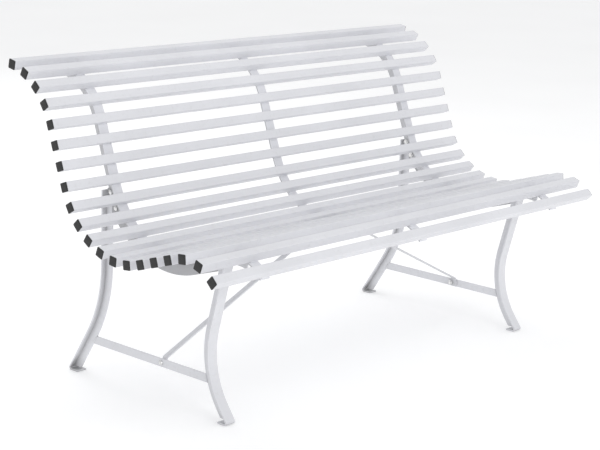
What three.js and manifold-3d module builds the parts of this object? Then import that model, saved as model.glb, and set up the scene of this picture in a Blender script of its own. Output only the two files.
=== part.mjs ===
// Slatted steel garden bench: twenty square-tube slats run the length of the bench and are
// carried on three curved ribs, T-iron at the ends and flat bar in the middle. The end ribs are
// bolted to splayed leg frames made of T-iron legs, a curved seat bearer and a flat stretcher,
// and two diagonal braces tie the stretchers to the middle rib. Millimetres, +Z up, X along the
// bench, the sitter faces -Y.
import * as THREE from 'three';
import { mergeVertices } from 'three/addons/utils/BufferGeometryUtils.js';
import Module from 'manifold-3d';

const wasm = await Module();
wasm.setup();

// ---- driving dimensions -----------------------------------------------------------------
const BENCH_LENGTH = 1500;        // over the end caps
const CAP_FLANGE = 2;             // how far an end cap stands out of its tube
const CONTACT_GAP = 0.3;          // gap between two pieces that touch

const TUBE = 24;                  // slat tube, outside
const TUBE_WALL = 1.5;
const TUBE_CORNER = 2.5;          // outside corner radius
const SLAT_BED = 0.4;             // clearance of a flat slat on the curved rib

// Line through the slat centres, from the top roll of the back to the front roll of the seat.
const TOP_SLAT_Y = 323.5;
const TOP_SLAT_Z = 802.5;
const TOP_SLOPE = 11.5;           // degrees below level at the top slat
const TOP_ROLL_R = 196;
const BACK_SLOPE = 69.8;          // degrees below level along the straight of the back
const BACK_STRAIGHT = 169.5;
const SEAT_BEND_R = 212;
const SEAT_RISE = 17.4;           // degrees above level towards the front of the seat
const SEAT_STRAIGHT = 127;
const FRONT_ROLL_R = 122;

const BACK_SLATS = 9;             // slats on the top roll and the back
const SEAT_SLATS = 9;             // slats in the seat bend and on its straight
const ROLL_SLATS = 2;             // slats on the front roll
const BACK_PITCH = 51.1;
const SEAT_PITCH = 48.4;
const ROLL_PITCH = 53.2;

const BAR_WIDTH = 30;             // T-iron flange, and the flat bar of the middle rib
const BAR_THICK = 4;              // T-iron flange and web, and every flat bar but the braces
const RIB_DEPTH = 28;             // T-iron of the end ribs, flange face to web edge
const RIB_TOP_OVERHANG = 13;      // rib flange past the centre of the top slat
const RIB_TIP_OVERHANG = 16;      // rib flange past the centre of the front slat
const RIB_WEB_TOP_SETBACK = 24;   // web cut back from the flange end
const RIB_WEB_TIP_SETBACK = 70;

const FRAME_SPAN = 1166;          // between the two leg frames, web centre to web centre
const LEG_DEPTH = 26;             // T-iron of the legs
const FOOT_LENGTH = 37;           // flange folded inwards to stand on, from the fold's sharp corner
const FOOT_BEND_R = 7;            // outside radius of that fold
const LEG_WEB_LIFT = 10;          // the web stops this far above the ground

// Each leg bows in towards the middle of the bench and splays to its foot. Lengths are taken
// on the flange's outer face, angles from the vertical.
const FRONT_BOW_OUT = 223.6;      // from the middle of the bench to the narrowest point
const FRONT_BOW_HEIGHT = 168;
const FRONT_BOW_R = 210;
const FRONT_TOP_LEAN = 14.2;
const FRONT_FOOT_SPLAY = 37;
const REAR_BOW_OUT = 164.5;
const REAR_BOW_HEIGHT = 305;
const REAR_BOW_R = 345;
const REAR_TOP_LEAN = 0;
const REAR_FOOT_SPLAY = 32.2;

const BEARER_TOP = 12;            // seat bearer, measured from the rib's flange face
const BEARER_BOTTOM = 38;
const REAR_LEG_DROP = 9;          // leg top below the rib's middle between two slats
const REAR_WEB_DROP = 17;         // the rear leg's web stops below its flange
const BEARER_LUG = 11;            // the bearer's upper end, past its topmost bolt

const STRETCHER_HEIGHT = 21;
const STRETCHER_Z = 97;           // middle height

const BRACE_WIDTH = 16;
const BRACE_THICK = 3;
const BRACE_FOOT_Y = -55.5;       // middle of the bar at the stretcher
const BRACE_BEND_R = 8;           // middle of the bar
const BRACE_LIFT = 14.5;          // lower bend above the middle of the stretcher
const BRACE_FLAT = 64;            // level run under the middle rib, from its bolt to the bend
const BRACE_TAB = 10;             // end tabs, past their bolt's centre
const LUG_WIDTH = 28;             // widened lower tab
const LUG_REAR = 10;              // its rear edge behind the bolt
const LUG_Y = -38;                // its rear edge

const BOLT = 8;
const BOLT_CLEARANCE = 0.3;       // on the radius
const BOLT_HEAD = 13;
const BOLT_HEAD_HEIGHT = 4.4;
const BOLT_HEAD_RIM = 2;          // straight side of the head under its crown
const CROWN_STEPS = 4;
const BOLT_CHAMFER = 0.8;
const NUT_FLATS = 13;
const NUT_HEIGHT = 6.5;
const BOLT_END = 2;               // thread past the nut
const BOLT_DEPTH = 20;            // end ribs' bolts, below the rib's flange face
const REAR_BOLT_STEP = 37;        // along the slat line, from the topmost bolt to the next

const ARC_STEP = 3;               // degrees between the points of an arc
const ROUND_SIDES = 20;
const HALVINGS = 60;              // of a bisection
const TOOL_SIZE = 1000;           // a cutting tool larger than what it cuts
const TRIM_REACH = 60;            // a curved cutting tool past the face that it cuts to
const HOLE_CUT = 3 * BAR_THICK;   // length of the tool that cuts a bolt hole

// ---- materials --------------------------------------------------------------------------
const paint = (tone) => new THREE.MeshStandardMaterial({ color: tone, roughness: 0.42, metalness: 0.0 });
const slatPaint = paint(0xe6e6e9);
const ribPaint = paint(0xe2e2e5);
const legPaint = paint(0xe4e4e7);
const flatBarPaint = paint(0xdfdfe3);
const plated = new THREE.MeshStandardMaterial({ color: 0xcfd1d3, roughness: 0.3, metalness: 0.9 });

// ---- plane curves -----------------------------------------------------------------------
const rad = THREE.MathUtils.degToRad;

// A curve of straights { length } and arcs { radius, turn }, turn in degrees and positive
// to the left. at(s) runs on past both ends.
class BarLine {
  constructor(x, y, heading, moves) {
    this.pieces = [];
    let pose = { x, y, heading };
    let start = 0;
    for (const move of moves) {
      const length = move.length ?? move.radius * rad(Math.abs(move.turn));
      const bend = move.radius ? Math.sign(move.turn) / move.radius : 0;
      this.pieces.push({ start, length, bend, pose });
      pose = BarLine.advance(pose, bend, length);
      start += length;
    }
    this.length = start;
  }

  static advance(pose, bend, distance) {
    const a = rad(pose.heading);
    if (bend === 0) {
      const x = pose.x + distance * Math.cos(a);
      const y = pose.y + distance * Math.sin(a);
      return { x, y, heading: pose.heading };
    }
    const b = a + bend * distance;
    const x = pose.x + (Math.sin(b) - Math.sin(a)) / bend;
    const y = pose.y - (Math.cos(b) - Math.cos(a)) / bend;
    return { x, y, heading: THREE.MathUtils.radToDeg(b) };
  }

  at(s) {
    const piece = this.pieces.findLast((p) => p.start <= s) ?? this.pieces[0];
    return BarLine.advance(piece.pose, piece.bend, s - piece.start);
  }

  // The point at s, moved sideways: positive to the left of the direction of travel.
  beside(s, offset) {
    const pose = this.at(s);
    const a = rad(pose.heading);
    return new THREE.Vector2(pose.x - offset * Math.sin(a), pose.y + offset * Math.cos(a));
  }

  // Stations from s0 to s1: every corner of the line, and enough points along each arc.
  stations(s0, s1) {
    const marks = [s0, ...this.pieces.map((p) => p.start).filter((s) => s > s0 && s < s1), s1];
    const all = [s0];
    for (let i = 1; i < marks.length; i += 1) {
      const turn = Math.abs(this.at(marks[i]).heading - this.at(marks[i - 1]).heading);
      const steps = Math.max(1, Math.ceil(turn / ARC_STEP));
      for (let k = 1; k <= steps; k += 1) {
        all.push(THREE.MathUtils.lerp(marks[i - 1], marks[i], k / steps));
      }
    }
    return all;
  }

  // The outline of a bar that follows the line between two sideways offsets.
  ribbon(s0, s1, near, far) {
    const stations = this.stations(s0, s1);
    const one = stations.map((s) => this.beside(s, near));
    const other = stations.map((s) => this.beside(s, far)).reverse();
    return new THREE.Shape([...one, ...other]);
  }

  // The station whose sideways point lies at the given height.
  stationAtHeight(height, offset) {
    let low = -this.length;
    let high = this.length;
    for (let i = 0; i < HALVINGS; i += 1) {
      const middle = (low + high) / 2;
      if (this.beside(middle, offset).y > height) low = middle;
      else high = middle;
    }
    return (low + high) / 2;
  }
}

// ---- solids -----------------------------------------------------------------------------
function toSolid(geometry) {
  const bare = geometry.clone();
  bare.deleteAttribute('normal');
  bare.deleteAttribute('uv');
  const merged = mergeVertices(bare);
  const vertProperties = new Float32Array(merged.attributes.position.array);
  const triVerts = new Uint32Array(merged.index.array);
  return new wasm.Manifold(new wasm.Mesh({ numProp: 3, vertProperties, triVerts }));
}

function toGeometry(solid) {
  const mesh = solid.getMesh();
  const geometry = new THREE.BufferGeometry();
  geometry.setAttribute('position', new THREE.BufferAttribute(mesh.vertProperties, 3));
  geometry.setIndex(new THREE.BufferAttribute(mesh.triVerts, 1));
  const flat = geometry.toNonIndexed();
  flat.computeVertexNormals();
  return flat;
}

// An outline drawn in (y, z), extruded along X around a middle plane.
function sideExtrusion(shape, thickness, middleX = 0) {
  const geometry = new THREE.ExtrudeGeometry(shape, { depth: thickness, bevelEnabled: false });
  geometry.rotateY(Math.PI / 2);
  geometry.rotateX(Math.PI / 2);
  geometry.translate(middleX - thickness / 2, 0, 0);
  return toSolid(geometry);
}

// An outline drawn in (x, z), extruded along Y around Y = 0.
function frontExtrusion(shape, thickness) {
  const geometry = new THREE.ExtrudeGeometry(shape, { depth: thickness, bevelEnabled: false });
  geometry.rotateX(Math.PI / 2);
  geometry.translate(0, thickness / 2, 0);
  return toSolid(geometry);
}

const HOLE_R = BOLT / 2 + BOLT_CLEARANCE;

// A hole along X through a point given in (y, z).
function boltHole(point, middleX = 0, length = HOLE_CUT) {
  const geometry = new THREE.CylinderGeometry(HOLE_R, HOLE_R, length, ROUND_SIDES);
  geometry.rotateZ(Math.PI / 2);
  geometry.translate(middleX, point.x, point.y);
  return toSolid(geometry);
}

// A hole square to the middle rib, through the point at an offset from the slat line.
function middleHole(offset) {
  const point = slatLine.beside(middleStation, offset);
  const geometry = new THREE.CylinderGeometry(HOLE_R, HOLE_R, HOLE_CUT, ROUND_SIDES);
  geometry.rotateX(Math.PI / 2 + middleTilt);
  geometry.translate(0, point.x, point.y);
  return toSolid(geometry);
}

// ---- the lines that everything follows ----------------------------------------------------
const slatLine = new BarLine(TOP_SLAT_Y, TOP_SLAT_Z, 180 + TOP_SLOPE, [
  { radius: TOP_ROLL_R, turn: BACK_SLOPE - TOP_SLOPE },
  { length: BACK_STRAIGHT },
  { radius: SEAT_BEND_R, turn: -(BACK_SLOPE + SEAT_RISE) },
  { length: SEAT_STRAIGHT },
  { radius: FRONT_ROLL_R, turn: 90 },
]);
const ribFace = TUBE / 2 + SLAT_BED;      // rib flange face, measured from the slat centres

function slatStations() {
  const stations = [0];
  const runs = [[BACK_SLATS - 1, BACK_PITCH], [SEAT_SLATS, SEAT_PITCH], [ROLL_SLATS, ROLL_PITCH]];
  for (const [count, pitch] of runs) {
    for (let i = 0; i < count; i += 1) stations.push(stations.at(-1) + pitch);
  }
  return stations;
}
const slats = slatStations();
const betweenSlats = (first) => (slats[first - 1] + slats[first]) / 2;

// A leg's outer face, drawn from the top down in (outward distance, height).
class LegLine extends BarLine {
  constructor({ bowOut, bowHeight, bowRadius, topLean, footSplay, top }) {
    const arcTop = bowHeight + bowRadius * Math.sin(rad(topLean));
    const arcEnd = bowHeight - bowRadius * Math.sin(rad(footSplay));
    const topLength = (top - arcTop) / Math.cos(rad(topLean));
    const tangent = FOOT_BEND_R * Math.tan(rad((90 + footSplay) / 2));
    const x = bowOut + bowRadius * (1 - Math.cos(rad(topLean))) + topLength * Math.sin(rad(topLean));
    super(x, top, -90 - topLean, [
      { length: topLength },
      { radius: bowRadius, turn: topLean + footSplay },
      { length: arcEnd / Math.cos(rad(footSplay)) - tangent },
      { radius: FOOT_BEND_R, turn: -(90 + footSplay) },
      { length: FOOT_LENGTH - tangent },
    ]);
    this.foldStart = this.pieces[3].start;
  }
}
const frontTop = slatLine.at(slats[16]).y;      // before the top is trimmed to the rib
const frontLegLine = new LegLine({
  bowOut: FRONT_BOW_OUT,
  bowHeight: FRONT_BOW_HEIGHT,
  bowRadius: FRONT_BOW_R,
  topLean: FRONT_TOP_LEAN,
  footSplay: FRONT_FOOT_SPLAY,
  top: frontTop,
});
const topBoltStation = betweenSlats(8);
const rearTop = slatLine.at(topBoltStation).y - REAR_LEG_DROP;
const rearWebTop = rearTop - REAR_WEB_DROP;
const rearLegLine = new LegLine({
  bowOut: REAR_BOW_OUT,
  bowHeight: REAR_BOW_HEIGHT,
  bowRadius: REAR_BOW_R,
  topLean: REAR_TOP_LEAN,
  footSplay: REAR_FOOT_SPLAY,
  top: rearTop,
});

// Turns a leg outline into (y, z): side is -1 for the front leg and 1 for the rear leg.
function placed(shape, side) {
  return new THREE.Shape(shape.getPoints().map((p) => new THREE.Vector2(side * p.x, p.y)));
}

// Everything nearer to the sitter than a given depth below the rib's flange face.
function aboveRib(depth) {
  const shape = slatLine.ribbon(betweenSlats(6), slats.at(-1), -TRIM_REACH, ribFace + depth);
  return sideExtrusion(shape, 2 * BAR_WIDTH);
}

// Everything above a height, across the whole bench in Y.
function aboveHeight(height) {
  const box = new THREE.BoxGeometry(2 * BAR_WIDTH, TOOL_SIZE, TOOL_SIZE);
  box.translate(0, 0, height + TOOL_SIZE / 2);
  return toSolid(box);
}

// ---- sub-parts, each built around X = 0 -----------------------------------------------------
function buildSlat() {
  const half = TUBE / 2;
  const inner = half - TUBE_WALL;
  const outline = new THREE.Shape();
  const r = TUBE_CORNER;
  outline.moveTo(half - r, -half);
  outline.absarc(half - r, -half + r, r, -Math.PI / 2, 0);
  outline.absarc(half - r, half - r, r, 0, Math.PI / 2);
  outline.absarc(-half + r, half - r, r, Math.PI / 2, Math.PI);
  outline.absarc(-half + r, -half + r, r, Math.PI, 1.5 * Math.PI);
  const bore = new THREE.Path();
  bore.moveTo(-inner, -inner);
  bore.lineTo(-inner, inner);
  bore.lineTo(inner, inner);
  bore.lineTo(inner, -inner);
  bore.closePath();
  outline.holes.push(bore);
  const length = BENCH_LENGTH - 2 * CAP_FLANGE;
  const geometry = new THREE.ExtrudeGeometry(outline, {
    depth: length, bevelEnabled: false, curveSegments: 3,
  });
  geometry.rotateY(Math.PI / 2);
  geometry.rotateX(Math.PI / 2);
  geometry.translate(-length / 2, 0, 0);
  return geometry;
}

const ribStart = -RIB_TOP_OVERHANG;
const ribEnd = slats.at(-1) + RIB_TIP_OVERHANG;
const topBolt = slatLine.beside(topBoltStation, ribFace + BOLT_DEPTH);
const rearBolt = slatLine.beside(topBoltStation + REAR_BOLT_STEP, ribFace + BOLT_DEPTH);
const frontBolt = slatLine.beside(slats[15], ribFace + BOLT_DEPTH);
const frameBolts = [topBolt, rearBolt, frontBolt];

// The braces are bolted under the middle rib in the gap between two seat slats.
const middleStation = betweenSlats(13);
const middleTilt = rad(slatLine.at(middleStation).heading - 180);
const ribUnder = ribFace + BAR_THICK;     // the middle rib's lower face, from the slat centres
const braceTop = slatLine.beside(middleStation, ribUnder);
const stretcherBolt = new THREE.Vector2(LUG_Y - LUG_REAR, STRETCHER_Z);

function ribFlange() {
  const shape = slatLine.ribbon(ribStart, ribEnd, ribFace, ribFace + BAR_THICK);
  return sideExtrusion(shape, BAR_WIDTH);
}

function buildEndRib() {
  const webStart = ribStart + RIB_WEB_TOP_SETBACK;
  const webEnd = ribEnd - RIB_WEB_TIP_SETBACK;
  const web = slatLine.ribbon(webStart, webEnd, ribFace + BAR_THICK / 2, ribFace + RIB_DEPTH);
  let solid = ribFlange().add(sideExtrusion(web, BAR_THICK));
  for (const bolt of frameBolts) solid = solid.subtract(boltHole(bolt));
  return toGeometry(solid);
}

function buildMiddleRib() {
  return toGeometry(ribFlange().subtract(middleHole(ribUnder)));
}

function buildLeg(line, side, webTop) {
  const flange = placed(line.ribbon(0, line.length, 0, -BAR_THICK), side);
  const web = placed(line.ribbon(0, line.foldStart, -BAR_THICK / 2, -LEG_DEPTH), side);
  const foot = new THREE.BoxGeometry(2 * BAR_WIDTH, TOOL_SIZE, 2 * LEG_WEB_LIFT);
  const flangeSolid = sideExtrusion(flange, BAR_WIDTH).subtract(aboveRib(RIB_DEPTH + CONTACT_GAP));
  const webSolid = sideExtrusion(web, BAR_THICK)
    .subtract(aboveRib(BEARER_TOP))
    .subtract(toSolid(foot))
    .subtract(aboveHeight(webTop));
  return toGeometry(flangeSolid.add(webSolid));
}

// The room that a leg takes in the plane of the webs, down to a depth below its outer face,
// and everything outside it.
function beyondLeg(line, side, depth) {
  const shape = line.ribbon(-TRIM_REACH, line.foldStart, TRIM_REACH, -depth - CONTACT_GAP);
  return sideExtrusion(placed(shape, side), 2 * BAR_WIDTH);
}

function buildBearer() {
  const top = ribFace + BEARER_TOP;
  const bar = slatLine.ribbon(topBoltStation, slats[17], top, ribFace + BEARER_BOTTOM);
  const lug = slatLine.ribbon(topBoltStation - BEARER_LUG, slats[9], top, ribFace + RIB_DEPTH);
  const rearWeb = beyondLeg(rearLegLine, 1, LEG_DEPTH).subtract(aboveHeight(rearWebTop + CONTACT_GAP));
  let solid = sideExtrusion(bar, BAR_THICK)
    .subtract(aboveHeight(rearWebTop))
    .add(sideExtrusion(lug, BAR_THICK))
    .subtract(beyondLeg(frontLegLine, -1, LEG_DEPTH))
    .subtract(beyondLeg(rearLegLine, 1, BAR_THICK))
    .subtract(rearWeb);
  for (const bolt of frameBolts) solid = solid.subtract(boltHole(bolt));
  return toGeometry(solid);
}

function buildStretcher() {
  const low = STRETCHER_Z - STRETCHER_HEIGHT / 2;
  const edge = (line, side, height) => {
    const offset = -LEG_DEPTH - 2 * CONTACT_GAP;
    return side * line.beside(line.stationAtHeight(height, offset), offset).x;
  };
  const high = low + STRETCHER_HEIGHT;
  const shape = new THREE.Shape([
    new THREE.Vector2(edge(frontLegLine, -1, low), low),
    new THREE.Vector2(edge(rearLegLine, 1, low), low),
    new THREE.Vector2(edge(rearLegLine, 1, high), high),
    new THREE.Vector2(edge(frontLegLine, -1, high), high),
  ]);
  return toGeometry(sideExtrusion(shape, BAR_THICK).subtract(boltHole(stretcherBolt)));
}

const half = BAR_THICK / 2;
const braceHalf = BRACE_THICK / 2;
const braceFoot = FRAME_SPAN / 2 - half - CONTACT_GAP - braceHalf;
const braceStep = BRACE_THICK + CONTACT_GAP;

// The left brace's middle line in (x, z): up the stretcher, along the diagonal, and level under
// the middle rib, past its bolt. The two braces lie one below the other there.
function bracePoints(level) {
  return [
    new THREE.Vector2(-braceFoot, STRETCHER_Z - BRACE_TAB),
    new THREE.Vector2(-braceFoot, STRETCHER_Z + BRACE_LIFT),
    new THREE.Vector2(-BRACE_FLAT, level),
    new THREE.Vector2(BRACE_TAB, level),
  ];
}

// A line through corner points with every corner rounded to one radius.
function roundedLine(points, radius) {
  const moves = [];
  const headingOf = (i) => points[i + 1].clone().sub(points[i]).angle();
  let cut = 0;
  for (let i = 0; i < points.length - 1; i += 1) {
    const length = points[i].distanceTo(points[i + 1]);
    if (i === points.length - 2) {
      moves.push({ length: length - cut });
      break;
    }
    const raw = headingOf(i + 1) - headingOf(i);
    const turn = THREE.MathUtils.euclideanModulo(raw + Math.PI, 2 * Math.PI) - Math.PI;
    const tangent = radius * Math.tan(Math.abs(turn) / 2);
    moves.push({ length: length - cut - tangent });
    moves.push({ radius, turn: THREE.MathUtils.radToDeg(turn) });
    cut = tangent;
  }
  return new BarLine(points[0].x, points[0].y, THREE.MathUtils.radToDeg(headingOf(0)), moves);
}

function buildBrace(order) {
  const drop = CONTACT_GAP + braceHalf + order * braceStep;
  const line = roundedLine(bracePoints(braceTop.y - drop), BRACE_BEND_R);
  const bar = toGeometry(frontExtrusion(line.ribbon(0, line.length, braceHalf, -braceHalf), BRACE_WIDTH));
  const drift = (braceTop.x - BRACE_FOOT_Y) / braceFoot;
  bar.applyMatrix4(new THREE.Matrix4().makeShear(drift, 0, 0, Math.tan(middleTilt), 0, 0));
  bar.translate(0, braceTop.x, 0);
  const lugHeight = BRACE_TAB + BRACE_LIFT / 2;
  const lug = new THREE.BoxGeometry(BRACE_THICK, LUG_WIDTH, lugHeight);
  lug.translate(-braceFoot, LUG_Y - LUG_WIDTH / 2, STRETCHER_Z - BRACE_TAB + lugHeight / 2);
  const foot = boltHole(stretcherBolt, -braceFoot);
  const top = middleHole(ribUnder + drop);
  return toGeometry(toSolid(bar).add(toSolid(lug)).subtract(foot).subtract(top));
}

// A round-headed bolt along X, its head's flat face at X = 0 and its shank towards +X.
function buildBolt(grip) {
  const radius = BOLT / 2;
  const shank = grip + NUT_HEIGHT + BOLT_END;
  const profile = [
    new THREE.Vector2(0, -shank),
    new THREE.Vector2(radius - BOLT_CHAMFER, -shank),
    new THREE.Vector2(radius, -shank + BOLT_CHAMFER),
    new THREE.Vector2(radius, 0),
    new THREE.Vector2(BOLT_HEAD / 2, 0),
  ];
  for (let i = 0; i <= CROWN_STEPS; i += 1) {
    const a = (i / CROWN_STEPS) * (Math.PI / 2);
    const rise = (BOLT_HEAD_HEIGHT - BOLT_HEAD_RIM) * Math.sin(a);
    const out = i === CROWN_STEPS ? 0 : (BOLT_HEAD / 2) * Math.cos(a);
    profile.push(new THREE.Vector2(out, BOLT_HEAD_RIM + rise));
  }
  const geometry = new THREE.LatheGeometry(profile, ROUND_SIDES);
  geometry.rotateZ(Math.PI / 2);
  return toGeometry(toSolid(geometry));
}

function buildNut() {
  const radius = NUT_FLATS / Math.sqrt(3);
  const shape = new THREE.Shape();
  for (let i = 0; i < 6; i += 1) {
    const a = (i / 6) * 2 * Math.PI;
    if (i === 0) shape.moveTo(radius, 0);
    else shape.lineTo(radius * Math.cos(a), radius * Math.sin(a));
  }
  const nut = sideExtrusion(shape, NUT_HEIGHT, NUT_HEIGHT / 2);
  const centre = new THREE.Vector2(0, 0);
  return toGeometry(nut.subtract(boltHole(centre, NUT_HEIGHT / 2, 2 * NUT_HEIGHT)));
}

// ---- assembly ---------------------------------------------------------------------------
const bench = new THREE.Group();
bench.name = 'garden_bench';

function addPiece(name, geometry, material, { x = 0, y = 0, z = 0 } = {}) {
  const mesh = new THREE.Mesh(geometry, material);
  mesh.name = name;
  mesh.position.set(x, y, z);
  bench.add(mesh);
  return mesh;
}

const mirrored = (geometry) => toGeometry(toSolid(geometry).mirror([1, 0, 0]));

const slatGeometry = buildSlat();
slats.forEach((station, i) => {
  const pose = slatLine.at(station);
  const name = `slat_${String(i + 1).padStart(2, '0')}`;
  const slat = addPiece(name, slatGeometry, slatPaint, { y: pose.x, z: pose.y });
  slat.rotation.x = rad(pose.heading);
});

const endRib = buildEndRib();
const frontLeg = buildLeg(frontLegLine, -1, frontTop);
const rearLeg = buildLeg(rearLegLine, 1, rearWebTop);
const bearer = buildBearer();
const stretcher = buildStretcher();
const frameBolt = buildBolt(2 * BAR_THICK + CONTACT_GAP);
const braceBolt = buildBolt(BAR_THICK + braceStep);
const nut = buildNut();

addPiece('rib_middle', buildMiddleRib(), ribPaint);
addPiece('brace_left', buildBrace(0), flatBarPaint);
addPiece('brace_right', mirrored(buildBrace(1)), flatBarPaint);
for (const [hand, side] of [['left', -1], ['right', 1]]) {
  const frameX = (side * FRAME_SPAN) / 2;
  const ribX = frameX - side * (BAR_THICK + CONTACT_GAP);
  const own = (geometry) => (side < 0 ? geometry : mirrored(geometry));
  addPiece(`rib_${hand}`, endRib, ribPaint, { x: ribX });
  addPiece(`front_leg_${hand}`, frontLeg, legPaint, { x: frameX });
  addPiece(`rear_leg_${hand}`, rearLeg, legPaint, { x: frameX });
  addPiece(`seat_bearer_${hand}`, bearer, flatBarPaint, { x: frameX });
  addPiece(`stretcher_${hand}`, stretcher, flatBarPaint, { x: frameX });
  const outer = frameX + side * (half + CONTACT_GAP);
  const joints = [
    ['rib_top', topBolt, frameBolt, ribX - side * (half + CONTACT_GAP)],
    ['rib_rear', rearBolt, frameBolt, ribX - side * (half + CONTACT_GAP)],
    ['rib_front', frontBolt, frameBolt, ribX - side * (half + CONTACT_GAP)],
    ['stretcher', stretcherBolt, braceBolt, side * (braceFoot - braceHalf - CONTACT_GAP)],
  ];
  for (const [joint, point, bolt, nutX] of joints) {
    addPiece(`bolt_${joint}_${hand}`, own(bolt), plated, { x: outer, y: point.x, z: point.y });
    addPiece(`nut_${joint}_${hand}`, own(nut), plated, { x: nutX, y: point.x, z: point.y });
  }
}

// The middle bolt stands square to the rib, head on top of it and nut under both braces.
function addToMiddle(name, geometry, offset) {
  const point = slatLine.beside(middleStation, offset);
  const upright = geometry.clone().rotateY(Math.PI / 2).rotateX(middleTilt);
  addPiece(name, upright, plated, { y: point.x, z: point.y });
}
addToMiddle('bolt_middle', buildBolt(BAR_THICK + 2 * braceStep), ribFace - CONTACT_GAP);
addToMiddle('nut_middle', nut, ribUnder + 2 * braceStep + CONTACT_GAP);

// The origin is on the ground under the middle of the bench.
const box = new THREE.Box3().setFromObject(bench);
bench.position.y = -(box.min.y + box.max.y) / 2;
bench.updateMatrixWorld(true);

export default bench;
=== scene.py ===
"""Looks, camera and light for the slatted steel garden bench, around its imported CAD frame."""

import math
import random

import bmesh
import bpy
from mathutils import Matrix, Vector
from mathutils.bvhtree import BVHTree


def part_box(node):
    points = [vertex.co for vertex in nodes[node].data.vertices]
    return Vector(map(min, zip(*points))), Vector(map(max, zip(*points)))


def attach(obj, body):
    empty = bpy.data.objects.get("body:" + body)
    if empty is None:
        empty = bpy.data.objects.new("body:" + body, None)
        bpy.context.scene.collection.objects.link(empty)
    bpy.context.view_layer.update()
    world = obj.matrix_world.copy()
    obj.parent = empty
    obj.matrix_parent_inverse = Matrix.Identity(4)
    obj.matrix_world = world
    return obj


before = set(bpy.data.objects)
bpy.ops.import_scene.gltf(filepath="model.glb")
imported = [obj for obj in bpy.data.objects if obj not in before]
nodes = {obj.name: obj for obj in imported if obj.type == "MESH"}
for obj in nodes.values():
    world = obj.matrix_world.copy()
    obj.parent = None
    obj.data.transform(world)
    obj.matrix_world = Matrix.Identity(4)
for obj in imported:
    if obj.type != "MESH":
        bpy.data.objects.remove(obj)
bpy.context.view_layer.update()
random.seed(11)

# ---- sizes, in metres ---------------------------------------------------------------------------
TUBE = 0.024                  # slat tube, outside, as in the CAD
TUBE_WALL = 0.0015            # as in the CAD

CAP_PLATE = 0.002             # what a cap adds to the end of its slat
CAP_INSET = 0.0002            # clearance around a cap's plate and plug
CAP_ROUND = 0.0011            # rounding of the plate's outer edge
CAP_CROWN = 0.0001            # how much the plate's middle stands out
CAP_PLUG = 0.010              # depth of the plug inside the tube
PLUG_LEAD = 0.001             # length of the plug's tapered tip
PLUG_TAPER = 0.0008           # how much narrower the tip is

EDGE_ROUND = 0.0007           # rounded edge of rolled and painted iron
FIXING_ROUND = 0.0003         # rounded edge of a bolt or nut
EDGE_SEGMENTS = 2
EDGE_ANGLE = 38.0             # degrees: sharper corners than this are rounded

WELD = 0.0018                 # radius of a weld bead
WELD_SIDES = 8
WELD_STEP = 0.0011            # spacing of the rings along a bead
WELD_RIPPLE = 0.0034          # spacing of its ripples
RIPPLE_HEIGHT = 0.10          # as a share of the radius
RIPPLE_CHANCE = 0.05          # random part of the radius, as a share
BEAD_TIP = 0.25               # cross-section at a bead's very end, as a share
BEAD_EASE = 3.0               # a bead reaches full size within 1/4 of its length
SLAT_WELD = 0.022             # length of a bead between a slat and a rib
SLAT_WELD_CHANCE = 0.002      # how much that length varies
SLAT_WELD_DRIFT = 0.001       # how far such a bead sits off the rib's middle
SLAT_WELD_SINK = 0.2          # how deep it lies in the slat's underside, as a share of WELD
SLAT_WELD_LAP = 0.35          # how deep it lies in the slat's side, as a share of WELD
SEAM_REACH = 0.0009           # two pieces closer than this are welded along that edge
SEAM_SLANT = 0.1              # puts a level seam's points in order, front to back
BEAD_SHARP = 60.0             # degrees: a bead's corners stay smooth up to this
CAP_SHARP = 35.0

FLOOR_SIZE = 60.0
FLOOR_DROP = 0.0005           # keeps the floor just under the feet
FAR = 200.0                   # how far the camera sees

slat_names = sorted(n for n in nodes if n.startswith("slat_"))


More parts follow.
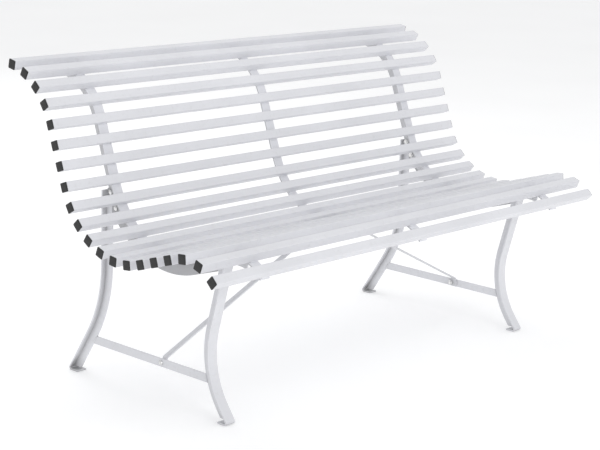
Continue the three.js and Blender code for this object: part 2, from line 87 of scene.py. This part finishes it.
# ---- materials ----------------------------------------------------------------------------------
class Nodes:
    """A material's node tree, with short ways to add and link nodes."""

    def __init__(self, name):
        self.material = bpy.data.materials.new(name)
        self.material.use_nodes = True
        self.tree = self.material.node_tree
        self.shader = self.tree.nodes["Principled BSDF"]

    def add(self, kind, **values):
        node = self.tree.nodes.new(kind)
        for key, value in values.items():
            if key in node.inputs:
                node.inputs[key].default_value = value
            else:
                setattr(node, key, value)
        return node

    def feed(self, value, socket):
        """Links a node's output to a socket, or writes a plain value on it."""
        if isinstance(value, bpy.types.NodeSocket):
            self.tree.links.new(value, socket)
        else:
            socket.default_value = value

    def surface(self, **values):
        """Sets the shader's inputs, named with underscores for spaces."""
        for key, value in values.items():
            self.feed(value, self.shader.inputs[key.replace("_", " ")])

    def ramp(self, source, low, high, a, b):
        node = self.add("ShaderNodeValToRGB")
        node.color_ramp.elements[0].position = low
        node.color_ramp.elements[1].position = high
        node.color_ramp.elements[0].color = a
        node.color_ramp.elements[1].color = b
        self.feed(source, node.inputs["Fac"])
        return node.outputs["Color"]

    def mask(self, source, low, high):
        """Nothing below low, everything above high."""
        return self.ramp(source, low, high, grey(0), grey(1))

    def noise(self, scale, detail=2.0, roughness=0.5):
        coords = self.add("ShaderNodeTexCoord").outputs["Object"]
        node = self.add("ShaderNodeTexNoise", Scale=scale, Detail=detail, Roughness=roughness)
        self.feed(coords, node.inputs["Vector"])
        return node.outputs["Fac"]

    def mix(self, factor, a, b):
        node = self.add("ShaderNodeMix", data_type="RGBA")
        for value, index in ((factor, 0), (a, 6), (b, 7)):
            self.feed(value, node.inputs[index])
        return node.outputs[2]

    def calc(self, operation, a, b=0.0):
        node = self.add("ShaderNodeMath", operation=operation)
        self.feed(a, node.inputs[0])
        self.feed(b, node.inputs[1])
        return node.outputs[0]

    def tinge(self, where, amount, below, colour):
        """Lays a colour over the one below, where a mask is on and as strongly as amount says."""
        return self.mix(self.calc("MULTIPLY", where, amount), below, colour)

    def bump(self, height, strength, distance, below=None):
        node = self.add("ShaderNodeBump", Strength=strength, Distance=distance)
        self.feed(height, node.inputs["Height"])
        if below:
            self.feed(below, node.inputs["Normal"])
        return node.outputs["Normal"]


def grey(value, tint=(1.0, 1.0, 1.0)):
    return tuple(value * t for t in tint) + (1.0,)


COOL = (0.985, 0.99, 1.03)    # tint of the white paint
WARM = (1.0, 0.99, 0.98)      # tint of the painted shade
DUSTY = (1.0, 0.985, 0.95)
RUSTY = (1.0, 0.98, 0.94)
SANDY = (1.0, 0.98, 0.93)
DULL_ZINC = (1.0, 1.0, 0.99)
SHADE_REACH = 0.045           # how near another surface has to be for shade to be painted there
SHADE_SAMPLES = 8
SHADE_TONE = 0.30             # level of the painted shade, as a share of the paint's


def powder_coat(name, tone, rough=0.42, corner_shade=0.0, side_shade=0.0):
    """Satin powder coat: orange peel, faint cloudiness, dust on top faces, thin paint on edges.

    Two optional darkenings are painted shade: one in the corners between pieces, one on the faces
    square to X.
    """
    n = Nodes(name)
    geometry = n.add("ShaderNodeNewGeometry")
    facing = n.add("ShaderNodeSeparateXYZ")
    n.feed(geometry.outputs["Normal"], facing.inputs[0])
    # The dark colour that the painted shade tends towards.
    painted_shade = grey(tone * SHADE_TONE, WARM)

    cloud = n.noise(scale=5.0, detail=3.0)
    colour = n.ramp(cloud, 0.35, 0.68, grey(tone * 0.965, COOL), grey(tone * 1.02, COOL))
    top_faces = n.mask(facing.outputs["Z"], 0.55, 1.0)
    patches = n.mask(n.noise(scale=38.0, detail=6.0, roughness=0.65), 0.48, 0.78)
    dust = n.calc("MULTIPLY", top_faces, patches)
    colour = n.tinge(dust, 0.16, colour, grey(tone * 0.80, DUSTY))
    specks = n.mask(n.noise(scale=420.0), 0.70, 0.78)
    colour = n.tinge(specks, 0.10, colour, grey(tone * 0.62, RUSTY))
    edges = n.mask(geometry.outputs["Pointiness"], 0.535, 0.62)
    flakes = n.mask(n.noise(scale=95.0, detail=4.0, roughness=0.6), 0.56, 0.70)
    colour = n.tinge(n.calc("MULTIPLY", edges, flakes), 0.35, colour, grey(tone * 0.72))
    # Painted shade: darker in the corners between pieces, where other surfaces are near.
    if corner_shade:
        open_sky = n.add("ShaderNodeAmbientOcclusion", Distance=SHADE_REACH, samples=SHADE_SAMPLES)
        corners = n.ramp(open_sky.outputs["AO"], 0.30, 0.92, grey(1), grey(0))
        colour = n.tinge(corners, corner_shade, colour, painted_shade)
    # Painted shade: faces square to X are darker.
    if side_shade:
        sides = n.mask(n.calc("ABSOLUTE", facing.outputs["X"]), 0.80, 0.95)
        colour = n.tinge(sides, side_shade, colour, painted_shade)

    sheen = n.noise(scale=60.0, detail=3.0)
    peel = n.bump(n.noise(scale=520.0, roughness=0.45), strength=0.10, distance=0.0004)
    n.surface(
        Base_Color=colour,
        Roughness=n.ramp(sheen, 0.3, 0.75, grey(rough - 0.05), grey(rough + 0.09)),
        Specular_IOR_Level=0.45,
        Coat_Weight=0.12,
        Coat_Roughness=0.22,
        Normal=n.bump(n.noise(scale=30.0), strength=0.05, distance=0.0012, below=peel),
    )
    return n.material


def moulded_plastic():
    """Dark moulded end caps: fine grain, faint dust, uneven sheen."""
    n = Nodes("cap_plastic")
    base = n.ramp(n.noise(scale=70.0, detail=4.0), 0.3, 0.75, grey(0.012), grey(0.020))
    dust = n.mask(n.noise(scale=260.0, detail=5.0, roughness=0.7), 0.58, 0.80)
    sheen = n.noise(scale=150.0, detail=3.0)
    n.surface(
        Base_Color=n.tinge(dust, 0.30, base, grey(0.10, SANDY)),
        Roughness=n.ramp(sheen, 0.3, 0.7, grey(0.46), grey(0.60)),
        Normal=n.bump(n.noise(scale=1500.0), strength=0.25, distance=0.0002),
    )
    return n.material


def zinc_plate():
    """Bright plated fixings with a fine grain and dull spots."""
    n = Nodes("zinc_plate")
    base = n.ramp(n.noise(scale=160.0, detail=4.0), 0.3, 0.7, grey(0.66, DULL_ZINC), grey(0.84))
    dull = n.mask(n.noise(scale=300.0, detail=5.0, roughness=0.65), 0.60, 0.78)
    sheen = n.noise(scale=220.0, detail=3.0)
    n.surface(
        Base_Color=n.tinge(dull, 0.4, base, grey(0.40)),
        Metallic=1.0,
        Roughness=n.ramp(sheen, 0.3, 0.7, grey(0.14), grey(0.28)),
        Normal=n.bump(n.noise(scale=900.0), strength=0.15, distance=0.0002),
    )
    return n.material


def studio_floor():
    """A plain pale floor with a barely visible mottle, and a faint glow that keeps it near white."""
    n = Nodes("studio_floor")
    n.surface(
        Base_Color=n.ramp(n.noise(scale=1.3, detail=3.0), 0.35, 0.7, grey(0.905), grey(0.925)),
        Emission_Color=grey(1.0),
        Emission_Strength=0.17,
        Roughness=0.85,
        Specular_IOR_Level=0.15,
        Normal=n.bump(n.noise(scale=400.0), strength=0.05, distance=0.0003),
    )
    return n.material


# All pieces have the same white paint; each kind gets its own tone, lighter or darker, which paints
# in the light or shade that falls on it.
COATS = {
    "slat_": powder_coat("slat_coat", 0.72),
    "rib_": powder_coat("rib_coat", 0.82, 0.45, side_shade=0.40),
    "front_leg_": powder_coat("front_leg_coat", 0.71, 0.45, corner_shade=0.25),
    "rear_leg_": powder_coat("rear_leg_coat", 0.79, 0.46, corner_shade=0.75),
    "stretcher_": powder_coat("stretcher_coat", 0.73, 0.44, corner_shade=0.25),
    "brace_": powder_coat("brace_coat", 0.66, 0.44),
    "seat_bearer_": powder_coat("bearer_coat", 0.60, 0.46, corner_shade=0.60, side_shade=0.35),
}
cap_plastic = moulded_plastic()
zinc = zinc_plate()


def coat_of(name):
    return next(coat for prefix, coat in COATS.items() if name.startswith(prefix))


# ---- helpers ------------------------------------------------------------------------------------
def finish_mesh(bm, name, material, sharp):
    """Turns a bmesh into a piece that rides on the bench."""
    mesh = bpy.data.meshes.new(name)
    bmesh.ops.recalc_face_normals(bm, faces=bm.faces[:])
    bm.to_mesh(mesh)
    bm.free()
    piece = bpy.data.objects.new(name, mesh)
    bpy.context.scene.collection.objects.link(piece)
    mesh.materials.append(material)
    smooth_up_to(mesh, sharp)
    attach(piece, "root")


def smooth_up_to(mesh, degrees):
    for polygon in mesh.polygons:
        polygon.use_smooth = True
    mesh.set_sharp_from_angle(angle=math.radians(degrees))


def repaint(obj, material):
    for entry in obj.material_slots:
        entry.material = material
    if not obj.material_slots:
        obj.data.materials.append(material)


def soften(obj, width):
    """Rounds a CAD node's hard edges, as rolled and painted steel has them."""
    bevel = obj.modifiers.new("edge_round", "BEVEL")
    bevel.width = width
    bevel.segments = EDGE_SEGMENTS
    bevel.limit_method = "ANGLE"
    bevel.angle_limit = math.radians(EDGE_ANGLE)
    bevel.harden_normals = True
    bevel.use_clamp_overlap = True
    smooth_up_to(obj.data, EDGE_ANGLE)


def slat_pose(name):
    """A slat's centre, its turn about X and the X of its two ends, from its CAD faces."""
    low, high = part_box(name)
    centre = (low + high) / 2
    outer = [
        polygon
        for polygon in nodes[name].data.polygons
        if abs(polygon.normal.x) <= 0.01
        and (polygon.center.yz - centre.yz).dot(polygon.normal.yz) >= TUBE * 0.49
    ]
    broadest = max(outer, key=lambda polygon: polygon.area)
    angle = math.atan2(broadest.normal.z, broadest.normal.y)
    return centre, angle, low.x, high.x


def loft(bm, rings):
    """Joins rings of vertices into a closed skin."""
    for a, b in zip(rings, rings[1:]):
        for i in range(len(a)):
            j = (i + 1) % len(a)
            bm.faces.new((a[i], a[j], b[j], b[i]))
    bm.faces.new(rings[0])
    bm.faces.new(reversed(rings[-1]))


# ---- looks of the CAD nodes ---------------------------------------------------------------------
for name, obj in nodes.items():
    if name.startswith(("bolt_", "nut_")):
        repaint(obj, zinc)
        soften(obj, FIXING_ROUND)
        continue
    repaint(obj, coat_of(name))
    if not name.startswith("slat_"):
        soften(obj, EDGE_ROUND)


# ---- end caps -----------------------------------------------------------------------------------
def rounded_square(bm, x, half, radius, steps=5):
    """A ring of vertices square to X, around the X axis."""
    ring = []
    for corner in range(4):
        centre_y = (half - radius) * (1 if corner in (0, 3) else -1)
        centre_z = (half - radius) * (1 if corner in (0, 1) else -1)
        for i in range(steps + 1):
            a = (corner + i / steps) * math.pi / 2
            y = centre_y + radius * math.cos(a)
            z = centre_z + radius * math.sin(a)
            ring.append(bm.verts.new((x, y, z)))
    return ring


def end_cap(name, side):
    """A moulded cap: crowned plate with rounded edges, and the plug that holds it in the tube."""
    centre, angle, low, high = slat_pose(name)
    plug = TUBE / 2 - TUBE_WALL - CAP_INSET
    face = TUBE / 2 - CAP_INSET
    # Distance out from the tube's end, half the width there and the corners' radius.
    profile = [
        (-CAP_PLUG, plug - PLUG_TAPER, 0.0006),
        (-CAP_PLUG + PLUG_LEAD, plug, 0.0008),
        (CAP_INSET, plug, 0.0008),
        (CAP_INSET, face, 0.0024),
        (CAP_PLATE - CAP_ROUND, face, 0.0024),
        (CAP_PLATE - CAP_ROUND * 0.3, face - CAP_ROUND * 0.3, 0.0022),
        (CAP_PLATE, face - CAP_ROUND, 0.0018),
        (CAP_PLATE + CAP_CROWN, face * 0.45, 0.0012),
    ]
    bm = bmesh.new()
    loft(bm, [rounded_square(bm, x, half, radius) for x, half, radius in profile])
    turn = Matrix.Rotation(angle, 4, "X")
    flip = Matrix.Scale(side, 4, (1, 0, 0))
    place = Matrix.Translation((low if side < 0 else high, centre.y, centre.z))
    bm.transform(place @ turn @ flip)
    hand = "left" if side < 0 else "right"
    number = name.removeprefix("slat_")
    finish_mesh(bm, f"cap_{number}_{hand}", cap_plastic, CAP_SHARP)


for name in slat_names:
    for side in (-1, 1):
        end_cap(name, side)


# ---- weld beads ---------------------------------------------------------------------------------
def point_along(points, distance):
    """The place and direction at a distance along a line of points."""
    for a, b in zip(points, points[1:]):
        length = (b - a).length
        if distance <= length or b is points[-1]:
            direction = (b - a).normalized()
            return a + direction * distance, direction
        distance -= length


def weld_bead(bm, points):
    """Adds a rippled bead along a line of points, thin at both ends."""
    total = sum((b - a).length for a, b in zip(points, points[1:]))
    count = max(4, round(total / WELD_STEP))
    rings = []
    for i in range(count + 1):
        along = total * i / count
        centre, direction = point_along(points, along)
        side = direction.orthogonal().normalized()
        across = direction.cross(side)
        size = min(1.0, BEAD_EASE * min(i, count - i) / count + BEAD_TIP)
        ripple = RIPPLE_HEIGHT * math.cos(2 * math.pi * along / WELD_RIPPLE)
        chance = random.uniform(-RIPPLE_CHANCE, RIPPLE_CHANCE)
        r = WELD * (1.0 + ripple + chance) * math.sqrt(size)
        turns = [2 * math.pi * j / WELD_SIDES for j in range(WELD_SIDES)]
        rings.append([bm.verts.new(centre + r * (math.cos(a) * side + math.sin(a) * across))
                      for a in turns])
    loft(bm, rings)


def slat_welds(hand):
    """Beads along both lower edges of every slat where it crosses one rib."""
    low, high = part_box(f"rib_{hand}")
    rib_x = (low.x + high.x) / 2
    centres = [slat_pose(name)[0] for name in slat_names]
    bm = bmesh.new()
    for i, name in enumerate(slat_names):
        centre, angle, _, _ = slat_pose(name)
        run = centres[min(i + 1, len(centres) - 1)] - centres[max(i - 1, 0)]
        to_rib = Vector((0.0, -run.z, run.y)).normalized()
        turns = [angle + k * math.pi / 2 for k in range(4)]
        normals = [Vector((0.0, math.cos(a), math.sin(a))) for a in turns]
        down = max(normals, key=to_rib.dot)
        sideways = down.cross(Vector((1.0, 0.0, 0.0)))
        below = down * (TUBE / 2 - WELD * SLAT_WELD_SINK)
        beside = sideways * (TUBE / 2 - WELD * SLAT_WELD_LAP)
        for side in (-1, 1):
            middle = centre + below + beside * side
            middle.x = rib_x + random.uniform(-SLAT_WELD_DRIFT, SLAT_WELD_DRIFT)
            length = SLAT_WELD + random.uniform(-SLAT_WELD_CHANCE, SLAT_WELD_CHANCE)
            half = Vector((length / 2, 0.0, 0.0))
            weld_bead(bm, [middle - half, middle + half])
    finish_mesh(bm, f"welds_slats_{hand}", COATS["rib_"], BEAD_SHARP)


def seam_weld(bar, leg):
    """Beads on both faces of a flat bar, along the end of it that meets a leg."""
    leg_surface = BVHTree.FromObject(nodes[leg], bpy.context.evaluated_depsgraph_get())
    low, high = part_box(bar)
    near = {}
    for vertex in nodes[bar].data.vertices:
        _, _, _, distance = leg_surface.find_nearest(vertex.co)
        if distance < SEAM_REACH:
            near[(round(vertex.co.y, 4), round(vertex.co.z, 4))] = vertex.co
    ordered = sorted(near.values(), key=lambda point: point.z + SEAM_SLANT * point.y)
    if len(ordered) < 2:
        raise RuntimeError(f"{bar} and {leg} don't meet")
    bm = bmesh.new()
    for x in (low.x, high.x):
        weld_bead(bm, [Vector((x, point.y, point.z)) for point in ordered])
    finish_mesh(bm, f"weld_{bar}_{leg}", coat_of(leg), BEAD_SHARP)


for hand in ("left", "middle", "right"):
    slat_welds(hand)
for hand in ("left", "right"):
    for bar in ("stretcher", "seat_bearer"):
        for leg in ("front_leg", "rear_leg"):
            seam_weld(f"{bar}_{hand}", f"{leg}_{hand}")

# ---- floor --------------------------------------------------------------------------------------
bpy.ops.mesh.primitive_plane_add(size=FLOOR_SIZE, location=(0, 0, -FLOOR_DROP))
floor = bpy.context.object
floor.name = "floor"
floor.data.materials.append(studio_floor())


# ---- light --------------------------------------------------------------------------------------
def soft_box(name, location, target_height, power, size=(3.0, 2.0)):
    """A rectangular light aimed at a point above the middle of the bench."""
    data = bpy.data.lights.new(name, "AREA")
    data.shape = "RECTANGLE"
    data.size, data.size_y = size
    data.energy = power
    light = bpy.data.objects.new(name, data)
    bpy.context.scene.collection.objects.link(light)
    light.location = location
    aim = Vector((0, 0, target_height)) - Vector(location)
    light.rotation_euler = aim.to_track_quat("-Z", "Y").to_euler()


soft_box("key", (-1.0, -5.2, 2.4), target_height=0.4, power=66)
soft_box("top", (0.4, 1.2, 4.6), target_height=0.2, power=28)
soft_box("back", (0.6, 4.6, 2.6), target_height=0.4, power=24)

world = bpy.data.worlds.new("studio")
bpy.context.scene.world = world
world.use_nodes = True
background = world.node_tree.nodes["Background"]
background.inputs["Color"].default_value = (0.985, 0.99, 1.0, 1.0)
background.inputs["Strength"].default_value = 0.80

bpy.context.scene.view_settings.view_transform = "Standard"

# ---- camera -------------------------------------------------------------------------------------
YAW = math.radians(47.615)    # from +Y towards +X
PITCH = math.radians(13.099)  # downwards
ROLL = math.radians(1.925)
EYE = Vector((-3.19026, -2.83919, 1.34615))
LENS = 98.045                 # mm
SENSOR = 36.0                 # mm

ahead = Vector((math.sin(YAW), math.cos(YAW), 0.0))
forward = ahead * math.cos(PITCH) - Vector((0.0, 0.0, math.sin(PITCH)))
level = Vector((math.cos(YAW), -math.sin(YAW), 0.0))
upright = level.cross(forward)
right = math.cos(ROLL) * level + math.sin(ROLL) * upright
up = math.cos(ROLL) * upright - math.sin(ROLL) * level

camera_data = bpy.data.cameras.new("camera")
camera_data.lens = LENS
camera_data.sensor_width = SENSOR
camera_data.clip_end = FAR
camera = bpy.data.objects.new("camera", camera_data)
bpy.context.scene.collection.objects.link(camera)
axes = Matrix((right, up, -forward)).transposed()
camera.matrix_world = Matrix.Translation(EYE) @ axes.to_4x4()
bpy.context.scene.camera = camera
